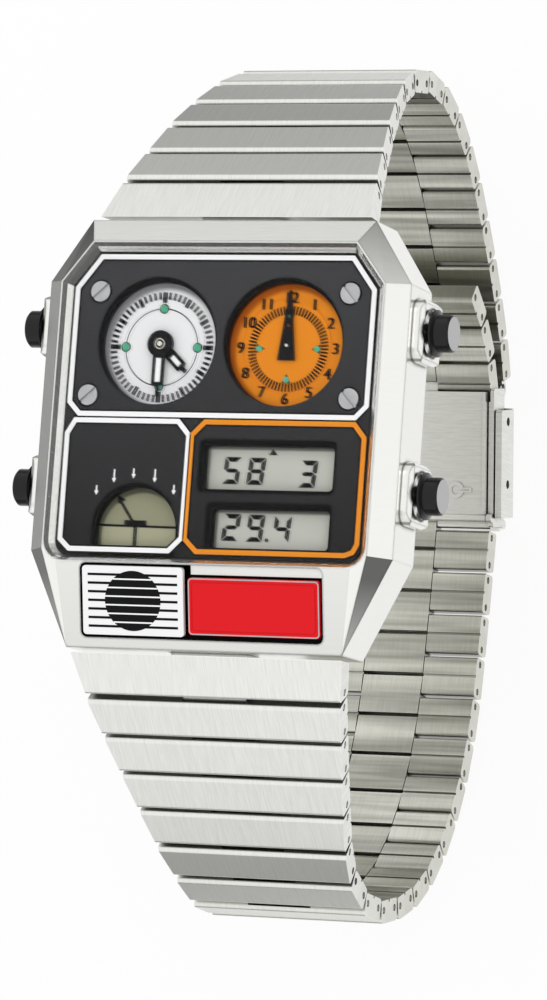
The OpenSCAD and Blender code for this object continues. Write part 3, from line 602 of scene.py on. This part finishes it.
# what lies in a window is shaded at the upper left by the plate over it
dialShade = dict(radius=4.75, blur=0.5)
displayShade = dict(blur=0.22, radius=0.02, dark=(0.16, 0.165, 0.145),
                    displays=[((5.25, -2.98), (5.65, 1.63)), ((5.8, -8.2), (5.1, 1.5))])
fanShade = dict(line=(-8.00, -7.95), low=(0.40, 0.395, 0.27), blur=0.25, dark=(0.10, 0.10, 0.065),
                disc=dict(centre=(-6.35, -8.75), radius=3.55),
                foot=dict(centre=(-6.35, -9.4), half=(3.4, 0.8), radius=0.05))


def shadedDial(centre, dark):
    def shade(finish, colour):
        lit = finish.inside(centre, (0, 0), dialShade["radius"], dialShade["blur"])
        return finish.mix(lit, dark, colour)
    return shade


def lcdShades(finish, colour):
    upper, lower = [finish.inside(centre, half, displayShade["radius"], displayShade["blur"])
                    for centre, half in displayShade["displays"]]
    return finish.mix(finish.math("MAXIMUM", upper, lower), displayShade["dark"], colour)


def fanShades(finish, colour):
    start, end = fanShade["line"]
    low = finish.slope(finish.axis("Y"), 1.0, 0.0, start * mm, end * mm)
    colour = finish.mix(low, colour, fanShade["low"])
    disc, foot = fanShade["disc"], fanShade["foot"]
    lit = finish.inside(disc["centre"], (0, 0), disc["radius"], fanShade["blur"])
    lower = finish.inside(foot["centre"], foot["half"], foot["radius"], fanShade["blur"])
    return finish.mix(finish.math("MAXIMUM", lit, lower), fanShade["dark"], colour)


looks = {
    "link": dict(colour=(0.90, 0.90, 0.865), metal=1.0, rough=0.3, stretch=(11000, 350, 350), depth=0.3,
                 streak=0.86, edge=(0.95, 0.95, 0.92), creaseShade=0.35, rim=0.00016, shades=linkShades),
    "case": dict(colour=(0.93, 0.93, 0.895), metal=1.0, rough=0.2, stretch=(400, 5000, 400), depth=0.1,
                 streak=0.96, edge=(0.10, 0.10, 0.098), creaseShade=0.3, rim=0.00034, alone=True, shades=caseShades),
    "clasp": dict(colour=(0.86, 0.86, 0.82), metal=1.0, rough=0.3, stretch=(500, 6000, 500), depth=0.25,
                  streak=0.86, edge=(0.92, 0.92, 0.9)),
    "screw": dict(colour=(0.60, 0.60, 0.61), metal=1.0, rough=0.32, marks=900.0, dim=0.6),
    "charcoal": dict(colour=(0.052, 0.052, 0.055), rough=0.5, shine=0.1, marks=300.0, dim=0.85,
                     shades=plateShades),
    "black": dict(colour=(0.004, 0.004, 0.005), rough=0.35, shine=0.15, dim=0.8),
    "buttonBlack": dict(colour=(0.005, 0.005, 0.006), rough=0.2, shine=0.3, dim=0.8),
    "buttonEnd": dict(colour=(0.45, 0.45, 0.45), rough=0.45, shine=0.2),
    "white": dict(colour=(0.87, 0.87, 0.88), rough=0.5, shine=0.1, dim=0.97,
                  shades=shadedDial((-5.46, 7.34), (0.26, 0.26, 0.27))),
    "print": dict(colour=(0.95, 0.95, 0.95), rough=0.5, shine=0.1, dim=0.98),
    "orange": dict(colour=(0.82, 0.262, 0.013), rough=0.5, shine=0.1, dim=0.95,
                   shades=shadedDial((6.06, 7.34), (0.42, 0.09, 0.003))),
    "orangeLine": dict(colour=(0.83, 0.28, 0.02), rough=0.5, shine=0.1, dim=0.95),
    "green": dict(colour=(0.09, 0.47, 0.28), rough=0.35, shine=0.2, dim=0.85),
    "lcd": dict(colour=(0.55, 0.555, 0.50), rough=0.4, shine=0.1, dim=0.97, shades=lcdShades),
    "olive": dict(colour=(0.30, 0.295, 0.195), rough=0.4, shine=0.1, dim=0.96, shades=fanShades),
    "ink": dict(colour=(0.005, 0.005, 0.006), rough=0.5, shine=0.1, dim=0.8),
    "red": dict(colour=(0.74, 0.011, 0.017), rough=0.4, shine=0.1, dim=0.97),
    "plate": dict(colour=(0.90, 0.90, 0.90), rough=0.35, shine=0.2, dim=0.97),
    "rubber": dict(colour=(0.012, 0.012, 0.012), rough=0.7),
    "plastic": dict(colour=(0.03, 0.03, 0.033), rough=0.5),
    "board": dict(colour=(0.01, 0.13, 0.05), rough=0.4),
    "nickel": dict(colour=(0.80, 0.78, 0.70), metal=1.0, rough=0.25),
    "brass": dict(colour=(0.75, 0.55, 0.25), metal=1.0, rough=0.3),
    "copper": dict(colour=(0.7, 0.3, 0.12), metal=1.0, rough=0.35, stretch=(12000, 300, 300), streak=0.7),
}
paint = {name: finishPaint(name, look) for name, look in looks.items()}
glass = dict(marks=90.0, rough=0.04, cloudy=(0.96, 0.97, 0.97), clear=(1.0, 1.0, 1.0),
             sockets={"Metallic": 0.0, "Transmission Weight": 1.0, "IOR": 1.3, "Alpha": 0.15})


def glassPaint():
    # thin clear glass, most of it let straight through so that the dial keeps its light
    finish = Finish("crystal")
    shader = finish.shader
    cloud = finish.use(marks, Size=glass["marks"]).outputs["Marks"]
    finish.wire(finish.slope(cloud, 0.0, glass["rough"]), shader.inputs["Roughness"])
    finish.wire(finish.mix(cloud, glass["cloudy"], glass["clear"]), shader.inputs["Base Color"])
    for socket, value in glass["sockets"].items():
        shader.inputs[socket].default_value = value
    return finish.made


paint["crystal"] = glassPaint()


def wearing(obj, name):
    obj.data.materials.clear()
    obj.data.materials.append(paint[name])
    return obj


def trim(parts, name, look, rides="case_body"):
    obj = wearing(join(parts, name), look)
    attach(obj, rides)
    return obj


nodeLooks = {
    "case": "case", "case_back": "clasp", "case_back_screws": "screw", "case_back_gasket": "rubber",
    "crystal": "crystal", "dial_plate": "charcoal", "dial_screws": "screw", "time_sub_dial": "white",
    "zone_sub_dial": "orange", "hour_hand": "black", "minute_hand": "black", "zone_hand": "black",
    "lcd_glass": "lcd", "fan_lcd": "olive", "speaker_grille": "plate", "red_plate": "red",
    "module_housing": "plastic", "circuit_board": "board", "battery": "nickel", "buzzer": "brass",
    "coil_motor": "copper", "button_2h": "buttonBlack", "button_4h": "buttonBlack",
    "button_8h": "buttonBlack", "button_10h": "buttonBlack", "button_seals": "rubber",
    "spring_bars": "screw", "clasp_box": "clasp", "lock_plate": "clasp", "clasp_cover": "clasp",
}
for name, obj in nodes.items():
    wearing(obj, nodeLooks.get(name, "link"))
print("finishes done")

# frame lines on the dial plate
frameLine = dict(width=0.42, edge=0.16, thick=0.03, lift=0.01, edgeThick=0.015)
frames = [
    dict(name="upper_frame_line", look="print", slot="white_paint",
         corners=[(-11.48, 15.0), (11.48, 15.0), (13.55, 12.3), (13.55, 2.53),
                  (12.59, 1.53), (-12.59, 1.53), (-13.55, 2.53), (-13.55, 12.3)]),
    dict(name="left_frame_line", look="print", slot="white_paint",
         corners=[(-12.88, 0.97), (-3.37, 0.97), (-2.33, -0.17), (-2.33, -8.9), (-3.45, -10.02),
                  (-12.6, -10.02), (-13.5, -9.2), (-13.55, -0.17)]),
    dict(name="orange_frame_line", look="orangeLine", slot="orange_paint",
         corners=[(-0.91, 0.97), (12.59, 0.97), (13.55, -0.17), (13.55, -9.08), (13.2, -9.75),
                  (12.5, -10.02), (-0.91, -10.02), (-2.04, -8.95), (-2.04, -0.17)]),
]
for spec in frames:
    trim([band(spec["corners"], dialTop + frameLine["lift"], frameLine["width"], frameLine["thick"])],
         spec["name"], spec["look"])
    trim([band(spec["corners"], dialTop, frameLine["width"] + 2 * frameLine["edge"], frameLine["edgeThick"])],
         spec["name"] + "_edge", "black")
print("frame lines done")

# white small dial
timeDial = dict(tickOut=4.72, minute=(4.1, 0.23), hour=(3.93, 0.34), quarter=(3.8, 0.42), hoop=3.3,
                hoopWidth=0.1, dot=0.33, dotRim=0.43, rimThick=0.03)
lumeDot = dict(thick=0.07, edge=0.03, lift=0.02)


def tick(centre, inner, outer, width):
    return strip((centre[0], centre[1] + inner), (centre[0], centre[1] + outer), width, dialFloor, inkThick)


def lumeDots(centre, out, radius, name):
    dot = button(centre[0], centre[1] + out, dialFloor + lumeDot["lift"], radius, lumeDot["thick"],
                 lumeDot["edge"])
    trim(around(dot, centre, quarters), name, "green")


timeMiddle = (leftDial[0], leftDial[1] - printDrop)
minutes = [6 * k for k in range(60) if k % 5]
hours = [30 * k for k in range(12) if k % 3]
ticks = []
for key, turns in (("minute", minutes), ("hour", hours), ("quarter", quarters)):
    inner, width = timeDial[key]
    ticks += around(tick(timeMiddle, inner, timeDial["tickOut"], width), timeMiddle, turns)
ticks.append(hoop(*timeMiddle, dialFloor + inkThick / 2, timeDial["hoop"], timeDial["hoopWidth"]))
dotRim = button(timeMiddle[0], timeMiddle[1] + timeDial["hoop"], dialFloor, timeDial["dotRim"],
                timeDial["rimThick"], 0)
ticks += around(dotRim, timeMiddle, quarters)
trim(ticks, "time_dial_print", "ink")
lumeDots(timeMiddle, timeDial["hoop"], timeDial["dot"], "time_dial_lume")

# orange small dial
zoneDial = dict(numeral=4.3, size=1.34, heavy=0.08, lift=0.002, tickOut=3.64, tickIn=2.93, tickWidth=0.17,
                ticks=72, mark=2.62, dot=0.27, half=0.4, point=0.5, markThick=0.03, aside=0.05)
zoneMiddle = (rightDial[0] + zoneDial["aside"], rightDial[1] - printDrop)
numbers = []
for hour in range(1, 13):
    turn = math.radians(hour * 30)
    number = words(str(hour), zoneMiddle[0] + zoneDial["numeral"] * math.sin(turn),
                   zoneMiddle[1] + zoneDial["numeral"] * math.cos(turn), dialFloor, zoneDial["size"])
    numbers.append(number)
    for side in (-1, 1):  # a stroke to each side makes the number bold
        stroke = twin(number)
        aside = (side * zoneDial["heavy"] * mm, 0, side * zoneDial["lift"] * mm)
        stroke.data.transform(Matrix.Translation(aside))
        numbers.append(stroke)
zoneTick = tick(zoneMiddle, zoneDial["tickIn"], zoneDial["tickOut"], zoneDial["tickWidth"])
numbers += around(zoneTick, zoneMiddle, [360 / zoneDial["ticks"] * k for k in range(zoneDial["ticks"])])
x, half = zoneMiddle[0], zoneDial["half"]
inner = zoneMiddle[1] + (zoneDial["mark"] - zoneDial["point"])
outer = zoneMiddle[1] + (zoneDial["mark"] + zoneDial["dot"])
mark = raised([(x, inner), (x + half, outer), (x - half, outer)], dialFloor, zoneDial["markThick"])
numbers += around(mark, zoneMiddle, quarters)
trim(numbers, "zone_dial_print", "ink")
lumeDots(zoneMiddle, zoneDial["mark"], zoneDial["dot"], "zone_dial_lume")
print("small dials done")

# hands: white filling in the slots, metal centres
handFill = dict(minute=(0.23, 1.25, 3.25), minuteTurn=180, hour=(0.19, 1.55, 2.55), hourTurn=134,
                sunk=0.11, thick=0.1)
timeBoss = dict(ring=(0.42, 0.09, 0.05), ringUp=0.01, cap=(0.22, 0.06, 0.03), capUp=0)
zoneBoss = dict(ring=(0.24, 0.07, 0.05), ringUp=0.02, cap=(0.13, 0.03, 0.01), capUp=0.07)


def slotFill(size, top, turn):
    half, near, far = size
    corners = [(leftDial[0] - half, leftDial[1] + near), (leftDial[0] + half, leftDial[1] + near),
               (leftDial[0] + half, leftDial[1] + far), (leftDial[0] - half, leftDial[1] + far)]
    return turned(raised(corners, top - handFill["sunk"], handFill["thick"]), leftDial, turn)


def handBoss(spec, dial, top, name, rides):
    ring = hoop(*dial, top + spec["ringUp"], *spec["ring"])
    cap = button(*dial, top + spec["capUp"], *spec["cap"])
    trim([ring, cap], name, "nickel", rides)


handBoss(timeBoss, leftDial, minuteTop, "hand_boss", "minute_hand_body")
trim([slotFill(handFill["minute"], minuteTop, handFill["minuteTurn"])], "minute_lume", "print",
     "minute_hand_body")
trim([slotFill(handFill["hour"], hourTop, handFill["hourTurn"])], "hour_lume", "print",
     "hour_hand_body")
handBoss(zoneBoss, rightDial, zoneTop, "zone_boss", "zone_hand_body")

# display digits
digitSize = dict(wide=1.52, high=2.3, thick=0.41, gap=0.05, lean=0.1, point=0.45, middle=0.42)
shapes = {"2": "abged", "3": "abgcd", "4": "fgbc", "5": "afgcd", "8": "abcdefg", "9": "abcdfg"}
shown = dict(digits=[("5", 1.5, -3.0), ("8", 3.72, -3.02), ("3", 8.42, -3.17),
                     ("2", 1.8, -7.8), ("9", 4.0, -7.83), ("4", 6.4, -7.85)],
             arrow=[(4.74, -1.64), (5.56, -1.62), (5.13, -1.12)],
             dot=(5.08, -8.82), dotRadius=0.17, dotSides=20)


def segment(letter, x, y):
    wide, high, thick, gap = (digitSize[key] for key in ("wide", "high", "thick", "gap"))
    right, top = wide / 2, high / 2
    point, middle = digitSize["point"] * thick, digitSize["middle"] * thick
    if letter == "g":
        points = [(point - right, 0), (thick - right, middle), (right - thick, middle),
                  (right - point, 0), (right - thick, -middle), (thick - right, -middle)]
    elif letter in "ad":
        points = [(gap - right, top), (right - gap, top), (right - thick - gap, top - thick),
                  (thick + gap - right, top - thick)]
    else:
        points = [(right, top - gap), (right, 2 * gap), (right - point, gap),
                  (right - thick, point + gap), (right - thick, top - thick - gap)]
    if letter in "ef":
        points = [(-px, py) for px, py in points]
    if letter in "cde":
        points = [(px, -py) for px, py in points]
    return raised([(x + px + digitSize["lean"] * py, y + py) for px, py in points], dialFloor, inkThick)


digits = []
for text, x, y in shown["digits"]:
    digits += [segment(letter, x, y) for letter in shapes[text]]
digits.append(raised(shown["arrow"], dialFloor, inkThick))
digits.append(button(*shown["dot"], dialFloor, shown["dotRadius"], inkThick, 0, shown["dotSides"]))
trim(digits, "display_digits", "ink")

# fan display: each mark stands a little higher than the last
fan = dict(line=((-10.45, -7.86), (-2.75, -7.95), 0.2), post=((-6.96, -8.0), (-6.93, -9.85), 0.34),
           block=((-8.02, -7.66), (-5.95, -7.66), 0.52), pointer=((-7.3, -7.45), (-8.5, -5.75), 0.26),
           head=[(-8.86, -5.2), (-7.98, -5.68), (-8.34, -5.86), (-8.66, -6.05)], rise=0.005)
fanMarks = [strip(*fan[key], dialFloor, inkThick + fan["rise"] * step)
            for step, key in enumerate(("line", "post", "block"))]
trim(fanMarks, "fan_marks", "ink")
pointer = strip(*fan["pointer"], dialFloor, inkThick)
head = raised(fan["head"], dialFloor, inkThick + fan["rise"])
trim([pointer, head], "fan_pointer", "ink")

# white arrows over the fan display, each with its place and length
arrow = dict(shaft=0.06, head=0.2, tip=0.36, thick=0.03,
             tops=[(-10.45, -4.58, 0.82), (-8.9, -3.19, 1.12), (-7.12, -3.09, 0.84), (-5.15, -3.12, 1.12),
                   (-3.33, -4.43, 0.82)])
arrows = []
for x, y, long in arrow["tops"]:
    thin, wide = arrow["shaft"], arrow["head"]
    low = y - long
    neck = low + arrow["tip"]
    arrows.append(raised([(x - thin, y), (x - thin, neck), (x - wide, neck), (x, low),
                          (x + wide, neck), (x + thin, neck), (x + thin, y)], dialTop, arrow["thick"]))
trim(arrows, "fan_arrows", "print")
print("displays done")

# plates on the sloping panel, measured from its upper edge
grille = dict(left=-10.88, right=-1.66, low=-6.15, high=-0.3, top=0.08, lines=7, margin=0.5, line=0.2,
              lineSunk=0.03, lineThick=0.035, disc=2.55, discThick=0.015, discSides=64, bar=0.12,
              barThick=0.025)
gx, gy = (grille["left"] + grille["right"]) / 2, (grille["low"] + grille["high"]) / 2
step = (grille["high"] - grille["low"]) / (grille["lines"] + 1)
rows = [grille["low"] + step * (k + 1) for k in range(grille["lines"])]
left, right = grille["left"] + grille["margin"], grille["right"] - grille["margin"]
lines = [strip((left, y), (right, y), grille["line"], grille["top"] - grille["lineSunk"], grille["lineThick"])
         for y in rows]
trim([onPanel(lines)], "grille_lines", "ink")
disc = button(gx, gy, grille["top"], grille["disc"], grille["discThick"], 0, grille["discSides"])
trim([onPanel([disc])], "grille_disc", "ink")
bars = []
for y in [row + step / 2 for row in rows[:-1]]:
    across = math.sqrt(grille["disc"] ** 2 - (y - gy) ** 2)
    bars.append(strip((gx - across, y), (gx + across, y), grille["bar"], grille["top"], grille["barThick"]))
trim([onPanel(bars)], "grille_bars", "print")
redRim = dict(box=(-1.14, 10.58, -5.87, -1.2), corner=0.3, width=0.1, up=0.07, thick=0.02)
rim = band(roundBox(*redRim["box"], redRim["corner"]), redRim["up"], redRim["width"], redRim["thick"])
trim([onPanel([rim])], "red_plate_rim", "screw")
print("plates done")

# flat ends of the buttons, with their side and place along the case
buttonEnd = dict(radius=1.43, out=19.39, up=4.2, thick=0.05, edge=0.02,
                 places={"2h": (1, 9.3), "4h": (1, -4.43), "8h": (-1, -4.43), "10h": (-1, 9.3)})
for name, (side, y) in buttonEnd["places"].items():
    end = button(0, 0, 0, buttonEnd["radius"], buttonEnd["thick"], buttonEnd["edge"])
    end.rotation_euler = (0, side * math.radians(90), 0)
    end.location = (side * buttonEnd["out"] * mm, y * mm, buttonEnd["up"] * mm)
    trim([settle(end)], "button_end_" + name, "buttonEnd", "button_" + name + "_body")
print("buttons done")

# floor, lamp and world, in metres
floorSize = dict(height=-0.0415, side=6)
floorLook = dict(colour=(0.92, 0.92, 0.92), rough=0.9, shown=0.9, reach=(0.055, 0.095), near=0.95, far=0.33)
keyLamp = dict(place=(0.3, 0.25, 0.6), side=0.35, power=0.35)
sky = {"From Min": -0.12, "From Max": 0.06, "To Min": 0.4, "To Max": 1.0}  # rise over the horizon, strength
bpy.ops.object.select_all(action="DESELECT")
bpy.ops.mesh.primitive_plane_add(size=floorSize["side"], location=(0, 0, floorSize["height"]))
floor = bpy.context.object
floor.name = "floor"


def floorPaint():
    finish = Finish("floor")
    put, wire = finish.put, finish.wire
    finish.shader.inputs["Base Color"].default_value = (*floorLook["colour"], 1)
    finish.shader.inputs["Roughness"].default_value = floorLook["rough"]
    finish.shader.inputs["Specular IOR Level"].default_value = 0.0
    glow = put("ShaderNodeEmission")
    rays = put("ShaderNodeLightPath")
    seen = finish.math("MAXIMUM", rays.outputs["Is Glossy Ray"], rays.outputs["Is Transmission Ray"])
    # metal sees a bright floor close to the watch and a dimmer one far off
    away = finish.vector("LENGTH", finish.place())
    strength = finish.slope(away, floorLook["near"], floorLook["far"], *floorLook["reach"])
    strength = finish.math("MAXIMUM", strength, rays.outputs["Is Camera Ray"])
    wire(strength, glow.inputs["Strength"])
    # the camera sees a little of the shadow in the white
    white = finish.math("MULTIPLY", rays.outputs["Is Camera Ray"], floorLook["shown"])
    mixed = put("ShaderNodeMixShader")
    wire(finish.math("MAXIMUM", seen, white), mixed.inputs[0])
    wire(finish.shader.outputs[0], mixed.inputs[1])
    wire(glow.outputs[0], mixed.inputs[2])
    wire(mixed.outputs[0], finish.tree.nodes["Material Output"].inputs["Surface"])
    return finish.made


def skyWorld():
    # white overhead and dimmer towards the ground
    world = bpy.data.worlds.new("studio")
    world.use_nodes = True
    put, wire = world.node_tree.nodes.new, world.node_tree.links.new
    background = world.node_tree.nodes["Background"]
    background.inputs["Color"].default_value = (1, 1, 1, 1)
    split = put("ShaderNodeSeparateXYZ")
    rise = put("ShaderNodeMapRange")
    rise.interpolation_type = "SMOOTHSTEP"
    for socket, value in sky.items():
        rise.inputs[socket].default_value = value
    wire(put("ShaderNodeTexCoord").outputs["Generated"], split.inputs[0])
    wire(split.outputs["Z"], rise.inputs["Value"])
    wire(rise.outputs["Result"], background.inputs["Strength"])
    return world


floor.data.materials.append(floorPaint())
bpy.ops.object.light_add(type="AREA", location=keyLamp["place"])
lamp = bpy.context.object
lamp.name = "key"
lamp.data.size = keyLamp["side"]
lamp.data.energy = keyLamp["power"]
lamp.rotation_euler = (-Vector(keyLamp["place"])).to_track_quat("-Z", "Y").to_euler()
scene.world = skyWorld()
scene.view_settings.view_transform = "Standard"
print("stage done")
